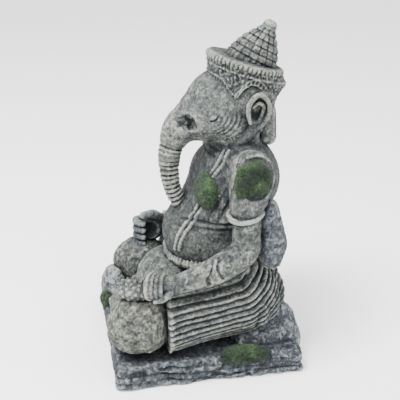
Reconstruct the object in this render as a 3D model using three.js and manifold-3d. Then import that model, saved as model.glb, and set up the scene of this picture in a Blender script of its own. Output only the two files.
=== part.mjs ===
// Small seated elephant-headed garden figure on a rock plinth, cast in stone-look resin.
// Millimetres, +Z up. The figure faces -Y and its own left hand is at +X.
// Every sculpted form is a closed solid that keeps SEAM of clearance to its neighbours.
import * as THREE from "three";
import { ConvexGeometry } from "three/addons/geometries/ConvexGeometry.js";
import { mergeVertices } from "three/addons/utils/BufferGeometryUtils.js";
import Module from "manifold-3d";

const wasm = await Module();
wasm.setup();

// ---------------------------------------------------------------- driving sizes
const SEAM = 0.3; // clearance between neighbouring pieces
const PLINTH_WIDTH = 110;
const PLINTH_DEPTH = 108;
const PLINTH_SETBACK = 1.5; // middle of the plinth behind the middle of the seat
const PLINTH_THICKNESS = 14;
const PLINTH_LEDGE = 3; // how far the lower layer stands out past the upper one
const PLINTH_LEDGE_HEIGHT = 7;

const HIP_HALF_WIDTH = 43;
const HIP_HALF_DEPTH = 28;
const HIP_HEIGHT = 46;
const SASH_RADIUS = 6;
const KNEE_RADIUS = 16;
const RIGHT_KNEE_RADIUS = 15;
const KNEE_SPREAD = 38; // middle of each knee from the centre plane
const LEFT_KNEE_REACH = 38; // how far the left knee is in front of the origin
const RIGHT_KNEE_REACH = 28;
const THIGH_RADIUS = 16;
const SHIN_RADIUS = 8;
const PLEAT_RADIUS = 2.6;
const PLEATS = 4;

const BELLY_HALF_WIDTH = 32;
const BELLY_HALF_DEPTH = 27;
const BELLY_HALF_HEIGHT = 23;
const BELLY_SETBACK = 10.5;
const CHEST_HALF_WIDTH = 35;
const CHEST_HALF_DEPTH = 25;
const CHEST_HALF_HEIGHT = 23;
const CHEST_SETBACK = 28;
const CHEST_RISE = 34; // chest middle above belly middle
const MIDRIFF_HALF_WIDTH = 30;
const MIDRIFF_HALF_DEPTH = 18;
const MIDRIFF_HALF_HEIGHT = 16;
const NECK_RADIUS = 13;
const BELT_HALF_THICKNESS = 3.6;
const THREAD_RADIUS = 1.5;

const SHOULDER_SPREAD = 37;
const SHOULDER_RADIUS = 14;
const ARM_RADIUS = 9;
const ELBOW_SPREAD = 44;
const UPPER_ARM_DROP = 47; // shoulder middle to elbow middle, vertical
const WRIST_RADIUS = 8.5;
const RIGHT_WRIST_RADIUS = 7;
const ARMLET_RADIUS = 1.7;
const BRACELET_RADIUS = 1.6;
const FINGER_RADIUS = 2.9;
const LEFT_FINGER_RADIUS = 1.9;
const REAR_ARM_RADIUS = 7.5;
const SWEETS = 6;

const HEAD_HALF_WIDTH = 20;
const HEAD_HALF_DEPTH = 26;
const HEAD_HALF_HEIGHT = 20;
const HEAD_RISE = 43; // head middle above chest middle
const TRUNK_ROOT_RADIUS = 10;
const TRUNK_LENGTH = 53; // drop of the trunk from root to tip
const TUSK_RADIUS = 3.2;
const EAR_HEIGHT = 22;
const EAR_THICKNESS = 9;
const EAR_HALF_DEPTH = 7.5;
const EAR_LOBE_DROP = 26; // from the ear's middle to the end of its lobe

const CROWN_TILT = THREE.MathUtils.degToRad(28);
const CROWN_RADIUS = 21.5;
const CROWN_BAND_HEIGHT = 11.5;
const CROWN_RIM_RADIUS = 24.5;
const CROWN_RIM_HEIGHT = 4.4;
const SPIRE_RADIUS = 14;
const SPIRE_HEIGHT = 21.5;
const SPIRE_CAP_RADIUS = 4;

const MOSS_THICKNESS = 1.6;

// ---------------------------------------------------------------- solid helpers
function solid(geometry) {
  const bare = geometry.clone();
  bare.deleteAttribute("normal");
  bare.deleteAttribute("uv");
  const merged = mergeVertices(bare, 1e-4);
  return new wasm.Manifold(
    new wasm.Mesh({
      numProp: 3,
      vertProperties: new Float32Array(merged.attributes.position.array),
      triVerts: new Uint32Array(merged.index.array),
    }),
  );
}

function unite(list) {
  return list.reduce((sum, next) => sum.add(next));
}

// Ellipsoid by middle, half sizes and an optional turn [x, y, z] in degrees.
function ellipsoid(middle, half, turn = [0, 0, 0], around = 16, down = 8) {
  const angles = turn.map((degrees) => THREE.MathUtils.degToRad(degrees));
  const placed = new THREE.Matrix4().compose(
    new THREE.Vector3(...middle),
    new THREE.Quaternion().setFromEuler(new THREE.Euler(...angles)),
    new THREE.Vector3(...half),
  );
  return new THREE.SphereGeometry(1, around, down).rotateX(Math.PI / 2).applyMatrix4(placed);
}

const round = (middle, half, turn, around, down) => (grow) =>
  solid(ellipsoid(middle, half.map((size) => size + grow), turn, around, down));

// Chain of rounded lengths: each station is [x, y, z, radius] or [x, y, z, rx, ry, rz].
function chain(stations, around = 10, down = 6) {
  return (grow) => {
    const beads = stations.map(([x, y, z, rx, ry = rx, rz = rx]) =>
      ellipsoid([x, y, z], [rx + grow, ry + grow, rz + grow], [0, 0, 0], around, down),
    );
    const lengths = beads.slice(1).map((bead, index) => {
      const points = [];
      for (const part of [beads[index], bead]) {
        const position = part.attributes.position;
        for (let i = 0; i < position.count; i += 1) {
          points.push(new THREE.Vector3().fromBufferAttribute(position, i));
        }
      }
      return solid(new ConvexGeometry(points));
    });
    return unite(lengths);
  };
}

const joined = (...forms) => (grow) => unite(forms.map((form) => form(grow)));

// Closed ring of round section about a turned, stretched circle.
function ring(middle, radiusX, radiusY, section, turn = [0, 0, 0], around = 20) {
  return (grow) => {
    const angles = turn.map((degrees) => THREE.MathUtils.degToRad(degrees));
    const geometry = new THREE.TorusGeometry(radiusX, section + grow, 5, around);
    geometry.scale(1, radiusY / radiusX, 1);
    geometry.applyQuaternion(new THREE.Quaternion().setFromEuler(new THREE.Euler(...angles)));
    return solid(geometry.translate(...middle));
  };
}

// Round tube through points, with flat ends.
function tube(points, section, steps = 20, flatten = 1) {
  return (grow) => {
    const [wide, high] = [section + grow, section * flatten + grow];
    const shape = new THREE.Shape().absellipse(0, 0, wide, high, 0, 2 * Math.PI);
    const path = new THREE.CatmullRomCurve3(points.map((point) => new THREE.Vector3(...point)));
    return solid(
      new THREE.ExtrudeGeometry(shape, {
        extrudePath: path,
        steps,
        curveSegments: 2,
      }),
    );
  };
}

// Angular boulder: a faceted ball stretched to its half sizes.
const boulder = (middle, half, turn) => (grow) => {
  const angles = turn.map((degrees) => THREE.MathUtils.degToRad(degrees));
  const geometry = new THREE.IcosahedronGeometry(1, 1);
  geometry.applyQuaternion(new THREE.Quaternion().setFromEuler(new THREE.Euler(...angles)));
  geometry.scale(...half.map((size) => size + grow));
  return solid(geometry.translate(...middle));
};

const mirrored = (stations) => stations.map(([x, ...rest]) => [-x, ...rest]);

// ---------------------------------------------------------------- levels
const seatLevel = PLINTH_THICKNESS;
const bellyLevel = seatLevel + HIP_HEIGHT + 8.5;
const chestLevel = bellyLevel + CHEST_RISE;
const headLevel = chestLevel + HEAD_RISE;
const shoulderLevel = chestLevel + CHEST_HALF_HEIGHT * 0.47;
const elbowLevel = shoulderLevel - UPPER_ARM_DROP;
const shoulderSetback = CHEST_SETBACK - 1;
const headSetback = CHEST_SETBACK - 7;

// ---------------------------------------------------------------- plinth and rocks
function slab(halfWidth, halfDepth, bottom, top, grow) {
  const corners = 22;
  const shape = new THREE.Shape();
  for (let i = 0; i < corners; i += 1) {
    const angle = (2 * Math.PI * (i + 0.5)) / corners;
    const squareness = 0.16;
    const x = Math.sign(Math.cos(angle)) * Math.abs(Math.cos(angle)) ** squareness;
    const y = Math.sign(Math.sin(angle)) * Math.abs(Math.sin(angle)) ** squareness;
    const chip = 1 - 0.009 * (1 + Math.sin(5.3 * i));
    shape[i ? "lineTo" : "moveTo"](x * (halfWidth + grow) * chip, y * (halfDepth + grow) * chip);
  }
  const geometry = new THREE.ExtrudeGeometry(shape, {
    depth: top - bottom + grow,
    bevelEnabled: false,
  });
  return solid(geometry.translate(0, PLINTH_SETBACK, bottom));
}

const plinth = (grow) =>
  unite([
    slab(PLINTH_WIDTH / 2, PLINTH_DEPTH / 2, 0, PLINTH_LEDGE_HEIGHT, grow),
    slab(
      PLINTH_WIDTH / 2 - PLINTH_LEDGE,
      PLINTH_DEPTH / 2 - PLINTH_LEDGE,
      PLINTH_LEDGE_HEIGHT - 1,
      PLINTH_THICKNESS,
      grow,
    ),
  ]);

const rockBack = PLINTH_SETBACK + PLINTH_DEPTH / 2 - 8;
const rockFront = PLINTH_SETBACK - PLINTH_DEPTH / 2 + 9;

// ---------------------------------------------------------------- legs and cloth
const leftKneeMiddle = [KNEE_SPREAD, -LEFT_KNEE_REACH, seatLevel + KNEE_RADIUS + 0.8];
const rightKneeMiddle = [-KNEE_SPREAD, -RIGHT_KNEE_REACH, seatLevel + RIGHT_KNEE_RADIUS + 3];
const hips = round(
  [0, 21, seatLevel + HIP_HEIGHT / 2],
  [HIP_HALF_WIDTH, HIP_HALF_DEPTH, HIP_HEIGHT / 2 + 1],
);

function thigh(knee, side) {
  const [kneeX, kneeY, kneeZ] = knee;
  const [hipX, hipY, hipZ] = [side * (HIP_HALF_WIDTH - THIGH_RADIUS), 28, seatLevel + HIP_HEIGHT * 0.53];
  const body = chain([
    [hipX, hipY, hipZ, THIGH_RADIUS + 3, THIGH_RADIUS + 2, HIP_HEIGHT / 2 - 2],
    [(hipX + kneeX) / 2, (hipY + kneeY) / 2 + 2, (hipZ + kneeZ) / 2, THIGH_RADIUS + 1],
    [kneeX, kneeY + 16, kneeZ - 0.5, THIGH_RADIUS - 1],
  ]);
  const folds = [];
  for (let i = 0; i < PLEATS; i += 1) {
    const angle = THREE.MathUtils.degToRad(-62 + (135 * i) / (PLEATS - 1));
    const out = (radius) => [side * radius * Math.cos(angle), radius * Math.sin(angle)];
    const [nearX, nearZ] = out(THIGH_RADIUS - 1.6);
    const [midX, midZ] = out(THIGH_RADIUS);
    const [farX, farZ] = out(THIGH_RADIUS + 2);
    folds.push(
      tube(
        [
          [kneeX + nearX, kneeY + 12, kneeZ + nearZ],
          [(hipX + kneeX) / 2 + midX, (hipY + kneeY) / 2 + 2, (hipZ + kneeZ) / 2 + midZ],
          [hipX + farX, hipY, hipZ + farZ * 1.1],
        ],
        PLEAT_RADIUS,
        2,
      ),
    );
  }
  return joined(body, ...folds);
}

function shin(from, to) {
  return chain([
    [from[0], from[1], from[2], SHIN_RADIUS + 1],
    [to[0], to[1], to[2], SHIN_RADIUS - 1],
  ]);
}

function hipSash(side) {
  const folds = [];
  for (let i = 0; i < 3; i += 1) {
    const angle = THREE.MathUtils.degToRad(20 + 17 * i);
    const x = side * (HIP_HALF_WIDTH - 2) * Math.cos(angle);
    const y = 22 + (HIP_HALF_DEPTH - 1) * Math.sin(angle);
    folds.push(
      chain(
        [
          [x * 0.86, y - 5, seatLevel + HIP_HEIGHT * 0.84, SASH_RADIUS - 1],
          [x, y, seatLevel + HIP_HEIGHT * 0.52, SASH_RADIUS],
          [x * 1.02, y + 1, seatLevel + HIP_HEIGHT * 0.34, SASH_RADIUS - 1.5],
        ],
        8,
        5,
      ),
    );
  }
  return joined(...folds);
}

// ---------------------------------------------------------------- torso
const belly = round(
  [0, BELLY_SETBACK, bellyLevel],
  [BELLY_HALF_WIDTH, BELLY_HALF_DEPTH, BELLY_HALF_HEIGHT],
);
const midriffMiddle = [0, BELLY_SETBACK + 3.5, (bellyLevel + chestLevel) / 2 + 1.5];
const midriffHalf = [MIDRIFF_HALF_WIDTH, MIDRIFF_HALF_DEPTH, MIDRIFF_HALF_HEIGHT];
const chest = joined(
  round([0, CHEST_SETBACK, chestLevel], [CHEST_HALF_WIDTH, CHEST_HALF_DEPTH, CHEST_HALF_HEIGHT]),
  round(midriffMiddle, midriffHalf),
);
const neck = chain([
  [0, CHEST_SETBACK - 1, chestLevel + CHEST_HALF_HEIGHT - 6, NECK_RADIUS + 2],
  [0, headSetback + 5, headLevel - HEAD_HALF_HEIGHT + 4, NECK_RADIUS],
]);
const belt = ring(
  [0, BELLY_SETBACK + 1, bellyLevel - BELLY_HALF_HEIGHT * 0.36],
  BELLY_HALF_WIDTH * 0.94,
  BELLY_HALF_DEPTH * 0.94,
  BELT_HALF_THICKNESS,
  [8, 0, 0],
);
const lapCloth = round([0, -16.5, bellyLevel - 22.5], [21, 17, 9.5], [26, 0, 0]);

// Point on the front of the belly or chest: across, height above the middle.
function onFront(setback, level, half, across, height) {
  const left = 1 - (across / half[0]) ** 2 - (height / half[2]) ** 2;
  return [across, setback - half[1] * Math.sqrt(Math.max(left, 0.02)), level + height];
}
const bellyHalf = [BELLY_HALF_WIDTH, BELLY_HALF_DEPTH, BELLY_HALF_HEIGHT];
const chestHalf = [CHEST_HALF_WIDTH, CHEST_HALF_DEPTH, CHEST_HALF_HEIGHT];
const upperThread = tube(
  [
    onFront(CHEST_SETBACK, chestLevel, chestHalf, CHEST_HALF_WIDTH * 0.44, CHEST_HALF_HEIGHT * 0.82),
    onFront(CHEST_SETBACK, chestLevel, chestHalf, CHEST_HALF_WIDTH * 0.61, CHEST_HALF_HEIGHT * 0.37),
    onFront(CHEST_SETBACK, chestLevel, chestHalf, CHEST_HALF_WIDTH * 0.58, -CHEST_HALF_HEIGHT * 0.1),
    onFront(
      midriffMiddle[1],
      midriffMiddle[2],
      midriffHalf,
      MIDRIFF_HALF_WIDTH * 0.66,
      MIDRIFF_HALF_HEIGHT * 0.1,
    ),
  ],
  THREAD_RADIUS,
  14,
  1.6,
);
const lowerThread = tube(
  [
    onFront(
      midriffMiddle[1],
      midriffMiddle[2],
      midriffHalf,
      MIDRIFF_HALF_WIDTH * 0.65,
      -MIDRIFF_HALF_HEIGHT * 0.1,
    ),
    onFront(BELLY_SETBACK, bellyLevel, bellyHalf, BELLY_HALF_WIDTH * 0.6, BELLY_HALF_HEIGHT * 0.5),
    onFront(BELLY_SETBACK, bellyLevel, bellyHalf, BELLY_HALF_WIDTH * 0.62, BELLY_HALF_HEIGHT * 0.15),
    onFront(BELLY_SETBACK, bellyLevel, bellyHalf, BELLY_HALF_WIDTH * 0.55, -BELLY_HALF_HEIGHT * 0.2),
  ],
  THREAD_RADIUS,
  14,
  1.6,
);

// ---------------------------------------------------------------- head
const head = round([0, headSetback, headLevel], [HEAD_HALF_WIDTH, HEAD_HALF_DEPTH, HEAD_HALF_HEIGHT]);
const trunkRoot = [0, headSetback - HEAD_HALF_DEPTH + 3, headLevel - HEAD_HALF_HEIGHT * 0.6];
const trunk = chain(
  [
    [0, trunkRoot[1] + 3, trunkRoot[2] + 3, TRUNK_ROOT_RADIUS],
    [0, trunkRoot[1] - 5, trunkRoot[2] - TRUNK_LENGTH * 0.06, TRUNK_ROOT_RADIUS - 1],
    [0, trunkRoot[1] - 9.5, trunkRoot[2] - TRUNK_LENGTH * 0.28, TRUNK_ROOT_RADIUS * 0.64],
    [0, trunkRoot[1] - 10.6, trunkRoot[2] - TRUNK_LENGTH * 0.5, TRUNK_ROOT_RADIUS * 0.5],
    [0, trunkRoot[1] - 9.3, trunkRoot[2] - TRUNK_LENGTH * 0.74, TRUNK_ROOT_RADIUS * 0.44],
    [0, trunkRoot[1] - 6, trunkRoot[2] - TRUNK_LENGTH * 0.92, TRUNK_ROOT_RADIUS * 0.46],
    [0, trunkRoot[1] - 3, trunkRoot[2] - TRUNK_LENGTH, TRUNK_ROOT_RADIUS * 0.4],
  ],
  10,
  6,
);
const jaw = round([0, headSetback - 13, headLevel - HEAD_HALF_HEIGHT * 0.72], [11, 12, 6.5]);

function tusk(side) {
  const [, y, z] = trunkRoot;
  return chain(
    [
      [side * (TRUNK_ROOT_RADIUS - 3), y + 3, z + 1, TUSK_RADIUS + 0.6],
      [side * (TRUNK_ROOT_RADIUS - 0.5), y - 3.5, z - 2, TUSK_RADIUS],
    ],
    10,
    8,
  );
}

function ear(side) {
  const x = side * (HEAD_HALF_WIDTH + 4);
  const y = headSetback + 9;
  const shell = joined(
    round([x, y, headLevel], [EAR_THICKNESS / 2, EAR_HALF_DEPTH, EAR_HEIGHT / 2], [-14, 0, side * 10], 14, 8),
    chain(
      [
        [x, y, headLevel - EAR_HEIGHT * 0.38, EAR_THICKNESS * 0.42],
        [x + side * 1, y - 6, headLevel - EAR_LOBE_DROP * 0.75, EAR_THICKNESS * 0.36],
        [x + side * 1, y - 10, headLevel - EAR_LOBE_DROP, EAR_THICKNESS * 0.3],
      ],
      8,
      5,
    ),
  );
  const hollow = round(
    [x + side * (EAR_THICKNESS / 2 + 0.6), y, headLevel + 0.5],
    [3.4, EAR_HALF_DEPTH - 3.6, EAR_HEIGHT / 2 - 4],
    [-14, 0, 0],
    10,
    8,
  );
  return (grow) => (grow > 0 ? shell(grow) : shell(0).subtract(hollow(0)));
}

const veil = chain([
  [0, headSetback + 19, headLevel - 2, 13, 8, 8],
  [0, headSetback + 21, headLevel - 22, 12, 7, 5],
]);

// ---------------------------------------------------------------- crown
// Lathe about the tilted crown axis; the profile is [radius, height] from axis to axis.
const crownFoot = [0, headSetback + 5, headLevel + 6];
function crownLathe(profile, around = 20) {
  const points = profile.map(([radius, height]) => new THREE.Vector2(radius, height));
  const geometry = new THREE.LatheGeometry(points, around);
  geometry.rotateX(Math.PI / 2);
  geometry.rotateX(-CROWN_TILT);
  return solid(geometry.translate(...crownFoot));
}
const earArch = (grow) => {
  const geometry = new THREE.CylinderGeometry(9 + grow, 9 + grow, HEAD_HALF_WIDTH * 4, 24);
  geometry.rotateZ(Math.PI / 2);
  return solid(geometry.translate(0, headSetback + 9, headLevel + 2));
};
const rimFoot = CROWN_BAND_HEIGHT;
const spireFoot = rimFoot + CROWN_RIM_HEIGHT;
const spireTop = spireFoot + SPIRE_HEIGHT;
const spireTopRadius = SPIRE_CAP_RADIUS - 0.6;
const diademBand = (grow) =>
  crownLathe([
    [0, -grow],
    [CROWN_RADIUS + grow, -grow],
    [CROWN_RADIUS + 1 + grow, CROWN_BAND_HEIGHT * 0.6],
    [CROWN_RADIUS + grow, CROWN_BAND_HEIGHT + grow],
    [0, CROWN_BAND_HEIGHT + grow],
  ]).subtract(earArch(0));
const diademRim = (grow) =>
  crownLathe([
    [0, rimFoot - grow],
    [CROWN_RIM_RADIUS - 2 + grow, rimFoot - grow],
    [CROWN_RIM_RADIUS + grow, rimFoot + CROWN_RIM_HEIGHT * 0.35],
    [CROWN_RIM_RADIUS + grow, rimFoot + CROWN_RIM_HEIGHT * 0.7],
    [CROWN_RIM_RADIUS - 2.5 + grow, spireFoot + grow],
    [0, spireFoot + grow],
  ]);
const crownSpire = (grow) => {
  const profile = [[0, spireFoot - grow]];
  const courses = 5;
  for (let i = 0; i < courses; i += 1) {
    const low = spireFoot + (SPIRE_HEIGHT * i) / courses;
    const high = spireFoot + (SPIRE_HEIGHT * (i + 1)) / courses;
    const swell = (part) => spireTopRadius + (SPIRE_RADIUS - spireTopRadius) * (1 - part ** 1.7) ** 0.95;
    profile.push([swell(i / courses) - 0.5 + grow, low + (i ? 0 : -grow)]);
    profile.push([swell((i + 0.3) / courses) + grow, low + (high - low) * 0.3]);
    profile.push([swell((i + 1) / courses) + grow, high - 0.15 + (i === courses - 1 ? 0.15 + grow : 0)]);
  }
  profile.push([0, spireTop + grow]);
  return crownLathe(profile, 14);
};
const axisPoint = (height) => [
  0,
  crownFoot[1] + height * Math.sin(CROWN_TILT),
  crownFoot[2] + height * Math.cos(CROWN_TILT),
];
const spireCap = round(
  axisPoint(spireTop + 1),
  [SPIRE_CAP_RADIUS, SPIRE_CAP_RADIUS, SPIRE_CAP_RADIUS * 0.7],
  [-28, 0, 0],
  16,
  10,
);

// ---------------------------------------------------------------- arms
const elbow = [ELBOW_SPREAD, shoulderSetback - 6, elbowLevel];
const upperArmStations = [
  [CHEST_HALF_WIDTH * 0.72, shoulderSetback + 1, shoulderLevel - 3, SHOULDER_RADIUS - 3],
  [
    SHOULDER_SPREAD,
    shoulderSetback,
    shoulderLevel,
    SHOULDER_RADIUS - 2,
    SHOULDER_RADIUS - 3,
    SHOULDER_RADIUS,
  ],
  [SHOULDER_SPREAD + 4, shoulderSetback - 4, shoulderLevel - UPPER_ARM_DROP * 0.34, ARM_RADIUS + 0.6],
];
const armletMiddle = [
  SHOULDER_SPREAD + 4.6,
  shoulderSetback - 5,
  shoulderLevel - UPPER_ARM_DROP * 0.4,
];
const elbowStations = [
  [SHOULDER_SPREAD + 5, shoulderSetback - 5, shoulderLevel - UPPER_ARM_DROP * 0.48, ARM_RADIUS - 0.4],
  [elbow[0], elbow[1], elbow[2], ARM_RADIUS],
];
const leftWrist = [ELBOW_SPREAD + 1, -12, leftKneeMiddle[2] + KNEE_RADIUS + 9];
const rightWrist = [ELBOW_SPREAD - 4, -9, rightKneeMiddle[2] + RIGHT_KNEE_RADIUS + 9];
const leftForearm = chain([
  ...elbowStations,
  [ELBOW_SPREAD + 1.5, 4, (elbow[2] + leftWrist[2]) / 2 - 0.5, ARM_RADIUS + 0.8],
  [...leftWrist, WRIST_RADIUS - 0.5],
]);
const rightForearm = chain([
  ...mirrored(elbowStations),
  [-ELBOW_SPREAD, 4, (elbow[2] + rightWrist[2]) / 2 - 0.5, ARM_RADIUS],
  [-rightWrist[0], rightWrist[1] + 5, rightWrist[2], RIGHT_WRIST_RADIUS],
]);
const armlet = (side) =>
  ring(
    [side * armletMiddle[0], armletMiddle[1], armletMiddle[2]],
    ARM_RADIUS,
    ARM_RADIUS,
    ARMLET_RADIUS,
    [12, side * 8, 0],
    16,
  );
const rearArm = (stations) => chain(stations, 14, 8);
const rearArmStations = [
  [SHOULDER_SPREAD + 1, shoulderSetback + 7, shoulderLevel - UPPER_ARM_DROP * 0.4, REAR_ARM_RADIUS - 0.5],
  [SHOULDER_SPREAD + 3, shoulderSetback + 11, elbowLevel + 8, REAR_ARM_RADIUS + 0.5],
  [SHOULDER_SPREAD + 2, shoulderSetback + 10.5, elbowLevel - 1, REAR_ARM_RADIUS - 2],
];

const leftPalm = chain([
  [leftWrist[0] - 0.5, leftWrist[1] - 6, leftWrist[2] - 1, WRIST_RADIUS - 1.8],
  [leftWrist[0] - 4, leftWrist[1] - 19, leftWrist[2] - 3, 6.5, 6, 5.5],
]);
function leftFinger(index) {
  const x = leftWrist[0] - 2;
  const y = leftWrist[1] - 14.5 - index * 3.4;
  const z = leftWrist[2] + 1.5 - index * 0.7;
  return chain(
    [
      [x - 2, y, z, LEFT_FINGER_RADIUS],
      [x + 5.2, y, z - 4, LEFT_FINGER_RADIUS],
      [x + 3.6, y + 0.6, z - 10, LEFT_FINGER_RADIUS - 0.3],
    ],
    6,
    4,
  );
}
const rightPalm = chain([
  [-rightWrist[0], rightWrist[1] - 5, rightWrist[2], 5, 5, RIGHT_WRIST_RADIUS],
  [-rightWrist[0] + 2, rightWrist[1] - 11, rightWrist[2] - 1, 4, 5, 8.5],
]);
function rightFinger(index) {
  const z = rightWrist[2] + 5.5 - index * 4.6;
  const y = rightWrist[1] - 14;
  const x = -rightWrist[0] + 3;
  return chain(
    [
      [x - 1, y, z, FINGER_RADIUS - 0.4],
      [x + 5, y - 4.5, z - 0.5, FINGER_RADIUS - 0.6],
    ],
    6,
    4,
  );
}
const rightThumb = chain(
  [
    [-rightWrist[0] + 1, rightWrist[1] - 7, rightWrist[2] + 7, FINGER_RADIUS],
    [-rightWrist[0] + 5, rightWrist[1] - 13, rightWrist[2] + 9.5, FINGER_RADIUS - 0.5],
  ],
  8,
  6,
);
const bracelet = (offset) =>
  ring(
    [-rightWrist[0] - 0.4, rightWrist[1] + 2 + offset, rightWrist[2]],
    RIGHT_WRIST_RADIUS,
    RIGHT_WRIST_RADIUS,
    BRACELET_RADIUS,
    [90, 0, 0],
    14,
  );

const sweetsMiddle = [leftKneeMiddle[0] - 9, leftKneeMiddle[1] - 3, leftKneeMiddle[2] + KNEE_RADIUS + 2];
function sweets() {
  const balls = [round(sweetsMiddle, [9.5, 8, 6], [0, 0, 0], 12, 8)];
  for (let i = 0; i < SWEETS; i += 1) {
    const turn = i * 2.4;
    const rise = 0.85 - (1.2 * i) / SWEETS;
    const spread = Math.sqrt(1 - rise * rise);
    balls.push(
      round(
        [
          sweetsMiddle[0] + 8 * spread * Math.cos(turn),
          sweetsMiddle[1] + 6.6 * spread * Math.sin(turn),
          sweetsMiddle[2] + 5 * rise,
        ],
        [3, 3, 3],
        [0, 0, 0],
        6,
        3,
      ),
    );
  }
  return joined(...balls);
}

// ---------------------------------------------------------------- moss pads
// A pad is a flattened bead over a surface; what it grows on is cut away from it.
const mossPad = (middle, half, turn) => round(middle, half, turn, 12, 8);

// ---------------------------------------------------------------- assembly
const STONE = { grey: 0x77787a, pale: 0x8d8a82, dark: 0x55585c, ochre: 0x948a72 };
const MOSS = 0x2f4a1e;
const pieces = [
  ["plinth", plinth, STONE.dark],
  ["belly", belly, STONE.grey],
  ["chest", chest, STONE.grey],
  ["head", head, STONE.grey],
  ["left_ear", ear(1), STONE.pale],
  ["right_ear", ear(-1), STONE.pale],
  ["diadem_rim", diademRim, STONE.pale],
  ["crown_spire", crownSpire, STONE.pale],
  ["spire_cap", spireCap, STONE.ochre],
  ["diadem_band", diademBand, STONE.grey],
  ["trunk", trunk, STONE.ochre],
  ["left_tusk", tusk(1), STONE.dark],
  ["right_tusk", tusk(-1), STONE.dark],
  ["jaw", jaw, STONE.grey],
  ["neck", neck, STONE.grey],
  ["veil", veil, STONE.grey],
  ["left_knee", round(leftKneeMiddle, [KNEE_RADIUS, KNEE_RADIUS, KNEE_RADIUS]), STONE.ochre],
  [
    "right_knee",
    round(rightKneeMiddle, [RIGHT_KNEE_RADIUS, RIGHT_KNEE_RADIUS, RIGHT_KNEE_RADIUS]),
    STONE.grey,
  ],
  ["waist_belt", belt, STONE.pale],
  ["left_hip_sash", hipSash(1), STONE.grey],
  ["right_hip_sash", hipSash(-1), STONE.grey],
  ["left_thigh", thigh(leftKneeMiddle, 1), STONE.pale],
  ["right_thigh", thigh(rightKneeMiddle, -1), STONE.pale],
  ["hips", hips, STONE.grey],
  ["lap_cloth", lapCloth, STONE.grey],
  [
    "left_shin",
    shin(
      [KNEE_SPREAD - 10, -LEFT_KNEE_REACH - 4, seatLevel + SHIN_RADIUS + 3],
      [-6, -42, seatLevel + SHIN_RADIUS],
    ),
    STONE.grey,
  ],
  [
    "right_shin",
    shin(
      [-KNEE_SPREAD + 10, -RIGHT_KNEE_REACH + 3, seatLevel + SHIN_RADIUS + 4],
      [8, -27, seatLevel + SHIN_RADIUS + 3],
    ),
    STONE.grey,
  ],
  ["left_armlet", armlet(1), STONE.pale],
  ["right_armlet", armlet(-1), STONE.pale],
  ["left_upper_arm", chain(upperArmStations), STONE.grey],
  ["right_upper_arm", chain(mirrored(upperArmStations)), STONE.grey],
  ["left_rear_arm", rearArm(rearArmStations), STONE.dark],
  ["right_rear_arm", rearArm(mirrored(rearArmStations)), STONE.dark],
  ["bracelet_front", bracelet(-1.8), STONE.ochre],
  ["bracelet_back", bracelet(1.9), STONE.ochre],
  ["left_forearm", leftForearm, STONE.pale],
  ["right_forearm", rightForearm, STONE.pale],
  ["left_hand", joined(leftPalm, ...[0, 1, 2, 3].map(leftFinger)), STONE.pale],
  ["right_hand", joined(rightPalm, rightThumb, ...[0, 1, 2, 3].map(rightFinger)), STONE.ochre],
  ["sweets", sweets(), STONE.ochre],
  ["upper_thread", upperThread, STONE.pale],
  ["lower_thread", lowerThread, STONE.pale],
  [
    "rear_rock_left",
    boulder([32, rockBack - 1, seatLevel + 3.5], [20, 10.5, 15], [0.3, 0.2, 0.4]),
    STONE.ochre,
  ],
  ["rear_rock_right", boulder([-26, rockBack - 1, seatLevel + 4], [21, 9, 13], [40, 10, 70]), STONE.dark],
  ["front_rock_right", boulder([-34, rockFront, seatLevel + 5], [14, 8.5, 15], [25, 60, 10]), STONE.dark],
  ["front_rock_left", boulder([20, rockFront + 1, seatLevel + 1], [12, 6, 7], [70, 20, 50]), STONE.dark],
  [
    "moss_shoulder",
    mossPad(
      [SHOULDER_SPREAD + SHOULDER_RADIUS - 3, shoulderSetback - 3, shoulderLevel + 1],
      [MOSS_THICKNESS + 1.2, 9, 10],
      [0, 0, 0],
    ),
    MOSS,
  ],
  [
    "moss_chest",
    mossPad(
      onFront(CHEST_SETBACK, chestLevel, chestHalf, CHEST_HALF_WIDTH * 0.5, -CHEST_HALF_HEIGHT * 0.15),
      [7, MOSS_THICKNESS + 0.6, 8],
      [0, 0, 34],
    ),
    MOSS,
  ],
  [
    "moss_plinth",
    mossPad([PLINTH_WIDTH / 2 - PLINTH_LEDGE, 21, seatLevel - 1], [MOSS_THICKNESS + 1, 14, 6], [0, 0, 0]),
    MOSS,
  ],
  [
    "moss_rock",
    mossPad([-26, rockFront - 5, seatLevel + 1], [9, MOSS_THICKNESS + 1.5, 6], [0, 0, 0]),
    MOSS,
  ],
];

// Mesh of a solid, as the one body that holds most of its volume.
function meshOf(name, body, colour) {
  const bodies = body.decompose();
  const whole = bodies.reduce((best, next) => (next.volume() > best.volume() ? next : best));
  const { vertProperties, triVerts } = whole.getMesh();
  const geometry = new THREE.BufferGeometry();
  geometry.setAttribute("position", new THREE.BufferAttribute(new Float32Array(vertProperties), 3));
  geometry.setIndex(new THREE.BufferAttribute(new Uint32Array(triVerts), 1));
  geometry.computeVertexNormals();
  const material = new THREE.MeshStandardMaterial({ color: colour, roughness: 0.9, metalness: 0 });
  const mesh = new THREE.Mesh(geometry, material);
  mesh.name = name;
  return mesh;
}

const group = new THREE.Group();
const placed = [];
for (const [name, form, colour] of pieces) {
  let body = form(0);
  const box = body.boundingBox();
  for (const earlier of placed) {
    const apart = [0, 1, 2].some(
      (axis) => earlier.box.min[axis] > box.max[axis] + SEAM || earlier.box.max[axis] < box.min[axis] - SEAM,
    );
    if (!apart) {
      body = body.subtract(earlier.form(SEAM));
    }
  }
  placed.push({ form, box });
  group.add(meshOf(name, body, colour));
}

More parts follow.
